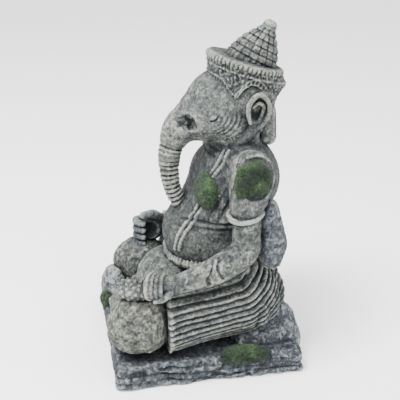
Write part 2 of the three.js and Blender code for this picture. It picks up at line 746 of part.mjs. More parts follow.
// The origin is the middle of the footprint, on the ground.
const bounds = new THREE.Box3().setFromObject(group);
group.position.set(-(bounds.min.x + bounds.max.x) / 2, -(bounds.min.y + bounds.max.y) / 2, -bounds.min.z);
group.updateMatrixWorld(true);

export default group;
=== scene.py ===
import math
import bpy
import numpy as np
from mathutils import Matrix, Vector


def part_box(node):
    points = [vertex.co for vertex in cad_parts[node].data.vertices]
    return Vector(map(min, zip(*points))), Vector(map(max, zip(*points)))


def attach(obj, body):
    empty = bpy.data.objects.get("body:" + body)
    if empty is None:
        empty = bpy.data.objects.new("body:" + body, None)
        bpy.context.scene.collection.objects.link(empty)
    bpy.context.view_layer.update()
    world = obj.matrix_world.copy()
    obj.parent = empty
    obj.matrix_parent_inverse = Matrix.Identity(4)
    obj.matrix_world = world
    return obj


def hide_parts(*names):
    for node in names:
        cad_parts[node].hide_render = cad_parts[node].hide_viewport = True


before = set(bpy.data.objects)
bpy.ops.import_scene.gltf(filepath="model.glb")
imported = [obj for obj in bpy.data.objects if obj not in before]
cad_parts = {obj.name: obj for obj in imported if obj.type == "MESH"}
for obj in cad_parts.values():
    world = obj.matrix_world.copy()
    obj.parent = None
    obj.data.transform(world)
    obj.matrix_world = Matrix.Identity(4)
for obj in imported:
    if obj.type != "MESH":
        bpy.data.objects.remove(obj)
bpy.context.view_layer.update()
import openvdb as vdb
from mathutils import Vector

MM = 0.001
STEP = 0.5  # mm, lattice that every form is sculpted on
DEG = math.pi / 180
rng = np.random.default_rng(11)
CELLS = 64  # noise values along each side of the table, which repeats
TABLE = (rng.random((CELLS, CELLS, CELLS)) * 2 - 1).astype(np.float32)


# ------------------------------------------------------------------ lattice and noise
class Block:
    """A box of the sculpting lattice, given by two corners in millimetres."""

    def __init__(self, low, high, pad=4.0):
        self.first = np.floor((np.array(low) - pad) / STEP).astype(int)
        last = np.ceil((np.array(high) + pad) / STEP).astype(int)
        axes = [(np.arange(a, b + 1) * STEP).astype(np.float32) for a, b in zip(self.first, last)]
        self.axes = axes
        self.shape = tuple(len(axis) for axis in axes)
        self.x = axes[0][:, None, None]
        self.y = axes[1][None, :, None]
        self.z = axes[2][None, None, :]


def low_high(*names):
    """The two corners, in mm, of the box round one or more CAD nodes."""
    corners = np.array([[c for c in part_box(name)] for name in names]) / MM
    return corners[:, 0].min(0), corners[:, 1].max(0)


def mid(name):
    low, high = low_high(name)
    return (low + high) / 2


def half(name):
    low, high = low_high(name)
    return (high - low) / 2


def at(name, fx, fy, fz):
    """A place in a CAD node's box, given by shares of its sides."""
    low, high = low_high(name)
    return low + np.array([fx, fy, fz]) * (high - low)


def smooth01(f):
    return f * f * (3 - 2 * f)


def grain(block, size, seed=0):
    """Smooth noise from -1 to 1 over a block, with features of a size in mm."""
    values = TABLE
    for axis, coords in enumerate(block.axes):
        place = coords / size + 13.7 * seed + 5.1 * axis
        cell = np.floor(place).astype(int)
        f = smooth01(place - cell).astype(np.float32)
        shape = [1, 1, 1]
        shape[axis] = -1
        f = f.reshape(shape)
        values = np.take(values, cell % CELLS, axis) * (1 - f) + np.take(values, (cell + 1) % CELLS, axis) * f
    return values


def grain_at(points, size, seed=0):
    """The same kind of noise at loose points."""
    place = points / size + 13.7 * seed + np.array([0, 5.1, 10.2])
    cell = np.floor(place).astype(int)
    f = smooth01(place - cell)
    total = np.zeros(len(points))
    for dx in (0, 1):
        for dy in (0, 1):
            for dz in (0, 1):
                weight = (
                    (f[:, 0] if dx else 1 - f[:, 0])
                    * (f[:, 1] if dy else 1 - f[:, 1])
                    * (f[:, 2] if dz else 1 - f[:, 2])
                )
                corner = tuple((cell[:, axis] + step) % CELLS for axis, step in enumerate((dx, dy, dz)))
                total += weight * TABLE[corner]
    return total


# ------------------------------------------------------------------ distance forms
def egg(block, middle, size, turn=None):
    """Nearly the distance to an ellipsoid with the given half sizes, turned by a matrix."""
    x, y, z = block.x - middle[0], block.y - middle[1], block.z - middle[2]
    if turn is not None:
        x, y, z = (row[0] * x + row[1] * y + row[2] * z for row in turn)
    a, b, c = size
    k0 = np.sqrt((x / a) ** 2 + (y / b) ** 2 + (z / c) ** 2)
    k1 = np.sqrt((x / a**2) ** 2 + (y / b**2) ** 2 + (z / c**2) ** 2)
    return k0 * (k0 - 1) / (k1 + 1e-6)


def sphere(block, middle, radius):
    """Distance to a ball."""
    x, y, z = block.x - middle[0], block.y - middle[1], block.z - middle[2]
    return np.sqrt(x**2 + y**2 + z**2) - radius


def about_x(degrees):
    """Rows of the matrix that turns a form about the x axis."""
    c, s = math.cos(degrees * DEG), math.sin(degrees * DEG)
    return [(1, 0, 0), (0, c, s), (0, -s, c)]


def limb(block, stations, travel=False):
    """Distance to a chain of tapering round lengths [(point, radius)], and how far along it."""
    best, along, walked = None, None, 0.0
    for (a, ra), (b, rb) in zip(stations, stations[1:]):
        a, b = np.array(a, float), np.array(b, float)
        v = b - a
        length = float(np.linalg.norm(v))
        x, y, z = block.x - a[0], block.y - a[1], block.z - a[2]
        t = np.clip((x * v[0] + y * v[1] + z * v[2]) / length**2, 0, 1)
        d = np.sqrt((x - t * v[0]) ** 2 + (y - t * v[1]) ** 2 + (z - t * v[2]) ** 2) - (ra + t * (rb - ra))
        s = walked + t * length
        if best is None:
            best, along = d, s
        else:
            along = np.where(d < best, s, along)
            best = np.minimum(best, d)
        walked += length
    return (best, along) if travel else best


def curve(points, per=6):
    """Smooth path through points (Catmull-Rom)."""
    points = [np.array(p, float) for p in points]
    ends = [2 * points[0] - points[1]] + points + [2 * points[-1] - points[-2]]
    path = []
    for p0, p1, p2, p3 in zip(ends, ends[1:], ends[2:], ends[3:]):
        for i in range(per):
            t = i / per
            square, cube = 2 * p0 - 5 * p1 + 4 * p2 - p3, 3 * p1 - p0 - 3 * p2 + p3
            path.append(0.5 * (2 * p1 + (p2 - p0) * t + square * t**2 + cube * t**3))
    path.append(points[-1])
    return path


def tapered(points, radii, per=5):
    """A smooth path with radii spread evenly along it, as limb takes it."""
    path = curve(points, per)
    spots = np.linspace(0, 1, len(radii))
    return [(p, float(np.interp(i / (len(path) - 1), spots, radii))) for i, p in enumerate(path)]


def blend(a, b, k):
    """The two forms joined, with a fillet about k mm wide."""
    h = np.clip(0.5 + 0.5 * (b - a) / k, 0, 1)
    return b * (1 - h) + a * h - k * h * (1 - h)


def cut(a, b, k=0.6):
    """Form a with form b taken out, over a rounded edge."""
    return -blend(-a, b, k)


def groove(d, distance, depth, width):
    """Form d with a soft furrow where the given distance is near zero."""
    return d + depth * np.exp(-((distance / width) ** 2))


def blur(values, sigma):
    """Gaussian blur of a block, with sigma in mm."""
    reach = max(1, int(3 * sigma / STEP))
    taps = np.exp(-((np.arange(-reach, reach + 1) * STEP / sigma) ** 2) / 2)
    taps = (taps / taps.sum()).astype(np.float32)
    for axis in range(3):
        padded = np.pad(values, [(reach, reach) if a == axis else (0, 0) for a in range(3)], mode="edge")
        total = 0
        for i, tap in enumerate(taps):
            total = total + tap * np.take(padded, range(i, i + values.shape[axis]), axis)
        values = total
    return values


def solid(block, *names, soft=1.5, grow=0.3):
    """Distance to the union of CAD solids, softened, from their meshes."""
    result = None
    for name in names:
        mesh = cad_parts[name].data
        mesh.calc_loop_triangles()
        points = np.empty(len(mesh.vertices) * 3, np.float32)
        mesh.vertices.foreach_get("co", points)
        corners = np.empty(len(mesh.loop_triangles) * 3, np.int32)
        mesh.loop_triangles.foreach_get("vertices", corners)
        points = points.reshape(-1, 3) / (MM * STEP)
        grid = vdb.FloatGrid.createLevelSetFromPolygons(
            points.astype(np.float32), triangles=corners.reshape(-1, 3).astype(np.uint32), halfWidth=12.0
        )
        values = np.zeros(block.shape, np.float32)
        grid.copyToArray(values, ijk=tuple(int(i) for i in block.first))
        values *= STEP
        result = values if result is None else np.minimum(result, values)
    return blur(result - grow, soft)


# ------------------------------------------------------------------ pieces
made = []


def piece(name, block, d, replaces, slot, rough=0.22, pits=0.18, tone=0.0):
    """Keep a distance block, closed at its edges, to be meshed once the whole figure is known."""
    d = np.clip(np.broadcast_to(d, block.shape), -3, 3).astype(np.float32).copy()
    for axis in range(3):
        edge = [slice(None)] * 3
        for side in (0, -1):
            edge[axis] = side
            d[tuple(edge)] = np.maximum(d[tuple(edge)], STEP)
    made.append({"name": name, "block": block, "d": d, "replaces": replaces, "slot": slot,
                 "rough": rough, "pits": pits, "tone": tone})


def trilinear(values, places):
    """A block's values at loose places, given in its own cells."""
    cell = np.clip(np.floor(places).astype(int), 0, np.array(values.shape) - 2)
    f = np.clip(places - cell, 0, 1)
    total = np.zeros(len(places))
    for dx in (0, 1):
        for dy in (0, 1):
            for dz in (0, 1):
                weight = (
                    (f[:, 0] if dx else 1 - f[:, 0])
                    * (f[:, 1] if dy else 1 - f[:, 1])
                    * (f[:, 2] if dz else 1 - f[:, 2])
                )
                total += weight * values[cell[:, 0] + dx, cell[:, 1] + dy, cell[:, 2] + dz]
    return total


def normals_of(points, faces):
    """Unit normals of the points of a quad mesh."""
    a, b, c, e = (points[faces[:, i]] for i in range(4))
    face_normal = np.cross(c - a, e - b)
    total = np.zeros_like(points)
    for i in range(4):
        for axis in range(3):
            total[:, axis] += np.bincount(faces[:, i], face_normal[:, axis], len(points))
    return total / (np.linalg.norm(total, axis=1)[:, None] + 1e-9)


def mesh_object(name, points, faces, attributes=None):
    """A smooth-shaded object from points in mm, faces, and values per point."""
    mesh = bpy.data.meshes.new(name)
    corners = faces.shape[1]
    mesh.vertices.add(len(points))
    mesh.vertices.foreach_set("co", (points * MM).astype(np.float32).ravel())
    mesh.loops.add(faces.size)
    mesh.loops.foreach_set("vertex_index", faces.astype(np.int32).ravel())
    mesh.polygons.add(len(faces))
    mesh.polygons.foreach_set("loop_start", np.arange(0, faces.size, corners, dtype=np.int32))
    mesh.polygons.foreach_set("use_smooth", np.ones(len(faces), bool))
    mesh.update(calc_edges=True)
    for key, values in (attributes or {}).items():
        layer = mesh.attributes.new(key, "FLOAT", "POINT")
        layer.data.foreach_set("value", values.astype(np.float32))
    obj = bpy.data.objects.new(name, mesh)
    bpy.context.scene.collection.objects.link(obj)
    return obj


# ---- head, jaw and trunk ------------------------------------------------------------
skull = mid("head")
skull_half = half("head")


def face_form(block):
    """The head without its trunk and fine marks; the torso flows into this same form."""
    form = egg(block, skull + np.array([0, 1.2, -0.3]), (19.6, 24.6, 19.4))
    form = blend(form, egg(block, skull + np.array([0, -13.5, -3.5]), (11.5, 11.5, 9.5), about_x(25)), 5)
    for side in (1, -1):
        form = blend(form, egg(block, skull + np.array([side * 10.5, -9, -8]), (8.5, 13.5, 10.5)), 5)
        form = blend(form, egg(block, skull + np.array([side * 11.5, 3, -13]), (8, 12, 10)), 5)
        form = blend(form, egg(block, skull + np.array([side * 13.4, 11.5, 3.5]), (7.8, 12.0, 13.5)), 3)
    return blend(form, egg(block, mid("jaw") + np.array([0, 1, 1]), (11, 12, 7)), 5)


head_low, head_high = low_high("head", "jaw", "trunk")
b = Block(head_low - 2, head_high + 2)
root = skull + np.array([0, -skull_half[1] + 3, -0.6 * skull_half[2]])
drop = root[2] - low_high("trunk")[0][2] - 4
trunk_path = [(4, 4), (-4, -0.05 * drop), (-9.0, -0.26 * drop), (-10.4, -0.5 * drop), (-9.2, -0.74 * drop),
              (-6.2, -0.92 * drop), (-3.0, -drop)]
trunk_d, trunk_s = limb(
    b,
    tapered([root + np.array([0, y, z]) for y, z in trunk_path], [10.5, 9.4, 7.0, 5.9, 5.1, 4.8, 4.6]),
    travel=True,
)
RING_SPACING, RINGS_FROM, RINGS_TO = 2.7, 11, 63  # mm along the trunk
ring = np.clip((trunk_s - RINGS_FROM) / 7, 0, 1) * np.clip((RINGS_TO - trunk_s) / 3, 0, 1)
ring_wave = np.abs(np.sin(math.pi * trunk_s / RING_SPACING + 0.6 * grain(b, 9, 2)))
trunk_d = trunk_d + ring * (1.4 * (1 - ring_wave) ** 1.2 - 0.1)
d = blend(face_form(b), trunk_d, 5)
tip = root + np.array([0, -3.2, -drop - 3.6])
d = cut(d, sphere(b, tip + np.array([0, 0.5, 0]), 3.0), 1.0)
# Wrinkles ring the underside of each eye: how far from it, and how deep, in mm.
WRINKLES = ((4.6, 0.35), (7.2, 0.45), (9.8, 0.4), (12.6, 0.5), (15.8, 0.45))
for side in (1, -1):
    eye = skull + np.array([side * 16.6, -11.5, -5.0])
    y, z = b.y - eye[1], b.z - eye[2]
    along = y * math.cos(0.5) + z * math.sin(0.5)
    across = -y * math.sin(0.5) + z * math.cos(0.5)
    near = np.clip((side * (b.x - skull[0]) - 8) / 3, 0, 1)
    lid = np.exp(-((along / 2.8) ** 2 + (across / 2.0) ** 2) ** 2)
    d = d - near * 0.55 * lid
    slit = across + 0.9 - 0.14 * along**2
    d = d + near * 1.5 * np.exp(-((slit / 0.5) ** 2)) * np.exp(-((along / 2.5) ** 4))
    crease = across - 2.2 + 0.1 * along**2
    d = d + near * 0.35 * np.exp(-((crease / 0.5) ** 2)) * np.exp(-((along / 3.2) ** 4))
    away = np.sqrt(along**2 + (across * 1.2) ** 2)
    angle = np.arctan2(across, along)
    below = np.clip((-angle - 0.15) / 0.3, 0, 1) * np.clip((angle + 2.3) / 0.5, 0, 1)
    for radius, depth in WRINKLES:
        wavy = radius + 0.9 * grain(b, 7, 5)
        reach = below * np.clip((angle + 2.6 - 0.05 * radius) / 0.4, 0, 1)
        d = d + near * depth * reach * np.exp(-(((away - wavy) / 0.6) ** 2))
    pit = skull + np.array([side * 12.2, -26.6, -8.2])
    rough_pit = egg(b, pit, (5.6, 7.2, 4.9), about_x(-22)) + 0.9 * grain(b, 2.6, 6) + 0.4 * grain(b, 1.3, 7)
    d = cut(d, rough_pit, 1.2)
piece("head_and_trunk", b, d, ["head", "jaw", "trunk"], "stone_grey", tone=0.06)

# ---- tusk stumps: rough broken roots in the pits beside the trunk ---------------------
for side, name in ((1, "left_tusk"), (-1, "right_tusk")):
    low, high = low_high(name)
    b = Block(low - 4, high + 4)
    stump = skull + np.array([side * 5.4, -26.4, -9.6])
    d = egg(b, stump, (2.8, 5.0, 3.8), about_x(-22)) + 0.8 * grain(b, 2.2, 3) + 0.4 * grain(b, 1.2, 5)
    piece(name + "_stump", b, d, [name], "stone_grey", tone=-0.34)

# ---- ears ---------------------------------------------------------------------------
for side, name in ((1, "left_ear"), (-1, "right_ear")):
    low, high = low_high(name)
    b = Block(low - 3, high + 3)

    def spot(out, back, up):
        """A place given from the middle of the skull."""
        return skull + np.array([side * out, back, up])

    d = egg(b, spot(20.8, 11.2, -1.0), (3.0, 5.8, 9.0), about_x(-12))
    sheet = [spot(20.4, 13.0, -6.0), spot(19.8, 8.6, -12.8), spot(18.2, 3.4, -18.6), spot(16.2, 0.2, -22.4)]
    d = blend(d, limb(b, tapered(sheet, [2.6, 3.0, 2.8, 2.0], 4)), 2.0)
    d = cut(d, egg(b, spot(25.4, 11.0, -0.6), (5.2, 4.2, 7.0), about_x(-12)), 0.6)
    rim_points = [(24.0, 7.1, -7.0), (24.2, 5.6, -1.5), (24.4, 6.8, 4.6), (24.4, 11.6, 8.2),
                  (24.2, 16.2, 4.6), (23.8, 17.2, -1.5), (23.0, 14.8, -7.3), (22.2, 10.4, -11.5),
                  (20.4, 5.3, -16.9), (17.8, 1.2, -22.0)]
    rim_radii = [1.0, 1.3, 1.45, 1.4, 1.3, 1.3, 1.3, 1.2, 1.0]
    d = blend(d, limb(b, tapered([spot(*p) for p in rim_points], rim_radii, 4)), 0.6)
    curl = [(23.2, 8.6, 1.4), (23.6, 11.5, 3.6), (23.4, 14.2, 1.4), (22.8, 12.8, -4.5), (21.8, 9.4, -10.0),
            (19.8, 4.0, -16.5)]
    d = blend(d, limb(b, tapered([spot(*p) for p in curl], [0.9, 1.1, 1.0, 1.0, 0.9], 4)), 0.4)
    under = [(19.6, 13.6, -12.0), (18.8, 9.5, -17.0), (17.4, 5.5, -20.8)]
    d = blend(d, limb(b, tapered([spot(*p) for p in under], [1.4, 1.6, 1.3], 4)), 0.6)
    piece(name + "_shell", b, d, [name], "stone_grey", rough=0.2, tone=-0.3)

# ---- hair at the nape ---------------------------------------------------------------
low, high = low_high("veil")
b = Block(low, high)
d = solid(b, "veil", soft=1.6)
locks = np.abs(np.sin((b.x - skull[0]) * 0.78 + 0.55 * np.sin(b.z * 0.28)))
d = d + 0.8 * (1 - locks) - 0.2
piece("hair", b, d, ["veil"], "stone_grey")

# ---- crown --------------------------------------------------------------------------
foot = skull + np.array([0, 5, 6])
axis_end = mid("spire_cap")
tall = axis_end - foot
tilt = math.atan2(tall[1], tall[2])
sin_t, cos_t = math.sin(tilt), math.cos(tilt)
spire_base, spire_height, spire_radius, spire_top_radius = 15.4, 22.0, 14.4, 3.3


def crown_space(block):
    """Radius, angle from the front and height along the axis of the spire."""
    x, y, z = block.x - foot[0], block.y - foot[1], block.z - foot[2]
    h = y * sin_t + z * cos_t
    v = -y * cos_t + z * sin_t
    return np.sqrt(x**2 + v**2), np.arctan2(x, v), h


brow = skull + np.array([0, 9.3, 20.7])
set_back = 16 * DEG


def brow_space(block):
    """Radius, angle from the front and height over the plane of the diadem's rim."""
    x, y, z = block.x - brow[0], block.y - brow[1], block.z - brow[2]
    h = y * math.sin(set_back) + z * math.cos(set_back)
    v = -y * math.cos(set_back) + z * math.sin(set_back)
    return np.sqrt(x**2 + v**2), np.arctan2(x, v), h


low, high = low_high("diadem_band")
b = Block(low - 5, high + 6)
rho, signed, h = brow_space(b)
phi = np.abs(signed)
edge_angles = np.array([0, 30, 47, 60, 73, 78, 84, 92, 100, 108, 118, 130, 145, 180]) * DEG
edge_heights = np.array([-12.7, -12.6, -13.1, -17.0, -19.8, -16.5, -11.4, -8.6, -8.2, -9.4, -12.5, -16.0,
                         -18.0, -18.0])
rise = h - np.interp(phi, edge_angles, edge_heights)
ahead, behind = np.clip(np.cos(phi), 0, 1) ** 1.5, np.clip(-np.cos(phi), 0, 1) ** 1.2
side_radius = 21.3 + 0.06 * h
back_flare = 4.6 - 0.30 * np.abs(h + 6) - 0.5 * np.clip(h + 5, 0, 9)
band_radius = side_radius + (0.5 + 0.25 * h) * ahead + back_flare * behind
d = np.maximum(np.maximum(rho - band_radius, -rise), h + 1.4)
around = phi * 21.5
outer = np.clip((rho - band_radius + 4) / 2, 0, 1) * np.clip((-h - 1.2) / 1.2, 0, 1)
bead = np.exp(-(((rise - 0.7) / 0.5) ** 2)) + np.exp(-(((rise - 3.6) / 0.5) ** 2))
bead = bead + 0.8 * np.exp(-(((h + 4.2) / 0.5) ** 2))
between = np.clip(1.5 - np.abs(rise - 2.1), 0, 1)
tick = np.clip(0.2 + np.sin(around * 2 * math.pi / 2.1), 0, 1) * between
cell_u = around / 6.2 + 0.35 * np.floor((rise - 4.2) / 5.0)
cell_x = (cell_u - np.floor(cell_u) - 0.5) * 6.2
cell_y = ((rise - 4.2) / 5.0 - np.floor((rise - 4.2) / 5.0) - 0.5) * 5.0
scroll = np.cos(2 * math.pi * np.sqrt(cell_x**2 + cell_y**2) / 2.2 - np.arctan2(cell_y, cell_x))
leafy = np.clip((rise - 4.4) / 0.5, 0, 1) * (0.7 * scroll + 0.7 * grain(b, 1.5, 4))
d = d - outer * (0.95 * bead + 0.85 * tick + 0.55 * leafy - 0.5)
d = cut(d, egg(b, skull, skull_half - 4), 0.5)
piece("diadem_band_relief", b, d, ["diadem_band"], "stone_grey", rough=0.12, tone=-0.02)

low, high = low_high("diadem_rim")
b = Block(low - 3, high + 3)
rho, signed, h = brow_space(b)
rim_radius, RIM_BEADS = 20.1, 54
wide = np.maximum(rho - rim_radius, 0)
d = np.sqrt(wide**2 + h**2) - 2.05 + 0.25 * grain(b, 7, 3)
notch = np.abs(signed * RIM_BEADS / (2 * math.pi) + 0.08 * grain(b, 9, 6))
notch = np.abs(notch - np.round(notch)) * 2 * math.pi * rho / RIM_BEADS
outer = np.clip((rho - rim_radius) / 1.0, 0, 1) * np.clip((1.1 - h) / 0.6, 0, 1)
d = d + 0.9 * outer * np.exp(-((notch / 0.45) ** 2)) - 0.15 * outer
piece("diadem_rim_beaded", b, d, ["diadem_rim"], "stone_grey", rough=0.14, tone=-0.06)

low, high = low_high("crown_spire")
b = Block(low - 6, high + 3)
rho, signed, h = crown_space(b)
part = np.clip((h - spire_base) / spire_height, 0, 1)
profile = spire_top_radius + (spire_radius - spire_top_radius) * (1 - part**1.7) ** 0.95
rows = 6
row = np.minimum(np.floor(part * rows), rows - 1)
inside_row = part * rows - row
count = np.array([26, 17, 17, 17, 17, 10])[row.astype(int)]
turn = signed / (2 * math.pi) * count + 0.12 * row
joint = np.abs(turn - np.round(turn)) / count * 2 * math.pi * rho
course = np.minimum(inside_row, 1 - inside_row) * spire_height / rows
d = (rho - profile) * 0.9
above_foot = row + inside_row > 0.3
d = d + 0.8 * np.exp(-((joint / 0.36) ** 2)) + 0.9 * np.exp(-((course / 0.38) ** 2)) * above_foot
d = d - 0.25 * (1 - inside_row) - 0.2 + 0.3 * grain(b, 3, 3)
d = np.maximum(np.maximum(d, spire_base - 5 - h), h - spire_base - spire_height)
piece("spire_tiles", b, d, ["crown_spire"], "stone_grey", rough=0.18, tone=-0.08)

low, high = low_high("spire_cap")
b = Block(low - 2, high + 2)
d = egg(b, mid("spire_cap"), (4.0, 4.0, 2.9), about_x(-28))
stem = axis_end - 1.8 * tall / np.linalg.norm(tall)
d = blend(d, egg(b, stem, (4.5, 4.5, 1.3), about_x(-28)), 0.7)
piece("spire_finial", b, d, ["spire_cap"], "stone_grey", tone=0.05)

# ---- torso --------------------------------------------------------------------------
low, high = low_high("belly", "chest", "neck")
b = Block(low - 4, high + 2)
belly, belly_half = mid("belly"), half("belly")
chest_high = low_high("chest")[1]
chest = np.array([belly[0], chest_high[1] - 25, chest_high[2] - 23])
d = egg(b, belly, belly_half)
d = blend(d, egg(b, chest - np.array([0, 1.2, 0]), (35, 23.6, 23)), 6)
d = blend(d, egg(b, chest + np.array([0, -5.5, -22]), (27.5, 20.5, 24)), 6)
d = blend(d, egg(b, belly + np.array([0, 3.5, 18]), (32, 18, 17)), 7)
for side in (1, -1):
    d = blend(d, egg(b, chest + np.array([side * 16, -14.5, -3]), (13, 10, 12)), 6)
    yoke = [(chest + np.array([side * 14, -1, 13]), 9), (chest + np.array([side * 34, -3, 9]), 10)]
    d = blend(d, limb(b, yoke), 6)
neck = [(chest + np.array([0, -2, 16]), 15.5), (skull + np.array([0, 3.5, -skull_half[2] + 4]), 13.5)]
d = blend(d, limb(b, neck), 5)
side_x = np.abs(b.x - belly[0])
for offset, depth in ((0.0, 1.0), (3.6, 0.6)):
    fold = (b.z - (belly[2] + 14 - offset)) - 0.10 * (side_x - 12) + 0.6 * grain(b, 9, 3)
    front = np.clip((chest[1] - b.y) / 6, 0, 1) * np.clip((side_x - 9) / 8, 0, 1)
    d = d + front * depth * np.exp(-((fold / 0.9) ** 2))
for level in (0, 4.2, 8.0):
    throat = (b.z - (skull[2] - skull_half[2] - 1.5 - level)) + 0.25 * (b.y - chest[1] + 12)
    front = np.clip((chest[1] - b.y) / 5, 0, 1)
    d = d + front * 0.55 * np.exp(-((throat / 0.7) ** 2))
for side in (1, -1):
    for offset in (0, 5, 10):
        drape = (b.y - chest[1] + 12 + offset) - 0.55 * (b.z - chest[2] + 4) + 0.8 * grain(b, 10, 4)
        where = np.clip((side * (b.x - chest[0]) - 12) / 8, 0, 1)
        where = where * np.exp(-(((b.z - chest[2] + 6) / 11) ** 4))
        d = d + 0.7 * where * np.exp(-((drape / 0.9) ** 2))
torso_block, torso_d = b, d.astype(np.float32)
# The skin flows on into the head and the arms, with no crease, and stops at their faces.
face = face_form(b)
d = np.maximum(blend(d, face, 7), -(face - 0.06))
for word in ("left", "right"):
    arm = solid(b, word + "_upper_arm", soft=1.8, grow=0.6)
    d = np.maximum(blend(d, arm, 5), -(arm - 0.06))
# The torso is toned darker: painted shade of the head and chin falling on the chest, together with the cast's
# dark wash.
piece("torso", b, d, ["belly", "chest", "neck"], "stone_grey", rough=0.26, tone=-0.19)


def on_torso(x, z):
    """Front surface of the torso at x, z."""
    i = int(round(x / STEP)) - torso_block.first[0]
    k = int(round(z / STEP)) - torso_block.first[2]
    line = torso_d[i, :, k]
    hit = np.argmax(line < 0)
    return np.array([x, torso_block.axes[1][hit], z])


# ---- double cord over the chest -----------------------------------------------------
def run_of(name, count):
    """Points down a CAD cord: the middle of its mesh at a few heights."""
    vertices = np.empty(len(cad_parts[name].data.vertices) * 3, np.float32)
    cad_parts[name].data.vertices.foreach_get("co", vertices)
    vertices = vertices.reshape(-1, 3) / MM
    levels = np.linspace(vertices[:, 2].max() - 1.5, vertices[:, 2].min() + 1.5, count)
    return [np.array([np.average(vertices[:, 0], weights=np.exp(-(((vertices[:, 2] - z) / 2.5) ** 2))), 0, z])
            for z in levels]


route = curve(run_of("upper_thread", 5) + run_of("lower_thread", 5), 6)
cords = [[(on_torso(p[0] + shift, p[2] + 0.25 * shift), 1.15) for p in route] for shift in (-1.45, 1.45)]
for index, name in ((0, "upper"), (1, "lower")):
    n = len(route)
    span = slice(0, n // 2 + 1) if index == 0 else slice(n // 2, n)
    ends = np.array([p for cord in cords for p, _ in cord[span]])
    b = Block(ends.min(0), ends.max(0))
    total = None
    for cord in cords:
        path = curve([p for p, _ in cord[span]][::2], 2)
        cd, cs = limb(b, [(p, 1.15) for p in path], travel=True)
        cd = cd + 0.12 * np.sin(2 * math.pi * cs / 2.2)
        total = cd if total is None else np.minimum(total, cd)
    piece("cord_" + name, b, total, [name + "_thread"], "stone_grey", rough=0.06, pits=0.05, tone=0.02)

# ---- folds of the cloth ---------------------------------------------------------------
def pleats(block, spacing=3.3, depth=1.5):
    """Folds that run level along the thigh and bend up round the hip."""
    bend_y, bend_z = 15.3, 68.5
    back = block.y - bend_y
    level = block.z - 0.13 * np.minimum(back, 0)
    reach = np.sqrt(np.maximum(back, 0) ** 2 + (bend_z - level) ** 2)
    reach = reach + 0.9 * grain(block, 13, 3) + 0.3 * grain(block, 5, 4)
    wave = np.abs(np.sin(math.pi * reach / spacing))
    return depth * (1 - wave**0.8) - 0.4 * depth + 0.15 * np.sin(3 * math.pi * reach / spacing + 1) * wave


# ---- belt, lap cloth, hips ----------------------------------------------------------
low, high = low_high("waist_belt")
b = Block(low, high)
d = solid(b, "waist_belt", soft=1.0, grow=0.4)
angle = np.arctan2(b.y - belly[1], b.x - belly[0])
d = d + 0.5 * (1 - np.abs(np.sin(angle * 34 + 0.12 * b.z)))
piece("belt_pleated", b, d, ["waist_belt"], "stone_pale")

low, high = low_high("lap_cloth")
b = Block(low, high)
d = solid(b, "lap_cloth", soft=2.2, grow=0.6)
lie = (b.x - mid("lap_cloth")[0]) + 0.25 * (b.y - low[1])
d = d + 0.5 * (1 - np.abs(np.sin(lie * 0.33 + 0.8 * grain(b, 12, 4))))
piece("lap_drape", b, d, ["lap_cloth"], "stone_grey")

low, high = low_high("hips")
b = Block(low, high)
d = solid(b, "hips", soft=2.0, grow=0.3)
d = d + pleats(b, depth=1.2)
piece("seat_cloth", b, d, ["hips"], "stone_grey", tone=-0.1)

# ---- thighs with long pleats, hip sashes --------------------------------------------
for side, word in ((1, "left"), (-1, "right")):
    name = word + "_thigh"
    low, high = low_high(name)
    b = Block(low - 1, high + 1)
    knee, knee_half = mid(word + "_knee"), half(word + "_knee")[0]
    d = solid(b, name, soft=2.6, grow=1.1) + pleats(b)
    hem = knee[1] + knee_half + 0.6
    d = d - 0.5 * np.exp(-(((b.y - hem - 1.4) / 1.3) ** 2))
    d = cut(d, b.y - hem + 0.6 * grain(b, 5, 5), 1.8)
    piece(word + "_thigh_pleats", b, d, [name], "stone_grey", rough=0.18, tone=-0.1)

    name = word + "_hip_sash"
    low, high = low_high(name)
    b = Block(low - 1, high + 1)
    d = solid(b, name, soft=2.0, grow=1.4) + pleats(b, depth=1.3)
    piece(word + "_hip_pleats", b, d, [name], "stone_grey", rough=0.18, tone=-0.16)

    name = word + "_knee"
    b = Block(knee - knee_half - 1, knee + knee_half + 4)
    d = egg(b, knee + np.array([0, 2.4, 1.0]), (knee_half, knee_half + 2.2, knee_half + 0.6))
    d = d + 0.7 * grain(b, 9, 2) + 0.3 * grain(b, 4, 3)
    if low_high(name)[0][2] < low_high("plinth")[1][2]:
        d = np.maximum(d, low_high("plinth")[1][2] - b.z)
    coat = "stone_ochre" if side > 0 else "stone_grey"
    piece(name + "_cap", b, d, [name], coat, rough=0.32, pits=0.2, tone=-0.06)

    name = word + "_shin"
    low, high = low_high(name)
    b = Block(low - 3, high + 3)
    d = solid(b, name, soft=1.4, grow=0.3)
    toe_x = low[0] + 2.5 if side > 0 else high[0] - 2.5
    centre = mid(name)
    for i in range(5):
        toe = np.array([toe_x, centre[1] + (i - 2) * 2.6, low[2] + 5.5 + 0.9 * (2 - abs(i - 2))])
        d = blend(d, egg(b, toe, (4.0, 1.7, 2.0)), 0.5)
    piece(word + "_shin_and_foot", b, d, [name], "stone_grey")

# ---- arms ---------------------------------------------------------------------------
LEFT_FOREARM_ROUTE = [(41.6, 21.0, 91.5), (43.4, 20.8, 84.0), (45.4, 18.2, 73.6), (46.2, 3.0, 64.6),
                      (45.8, -14.0, 59.0), (45.4, -20.5, 57.2)]
LEFT_FOREARM_RADII = [8.0, 7.5, 8.0, 7.3, 5.3, 5.0]
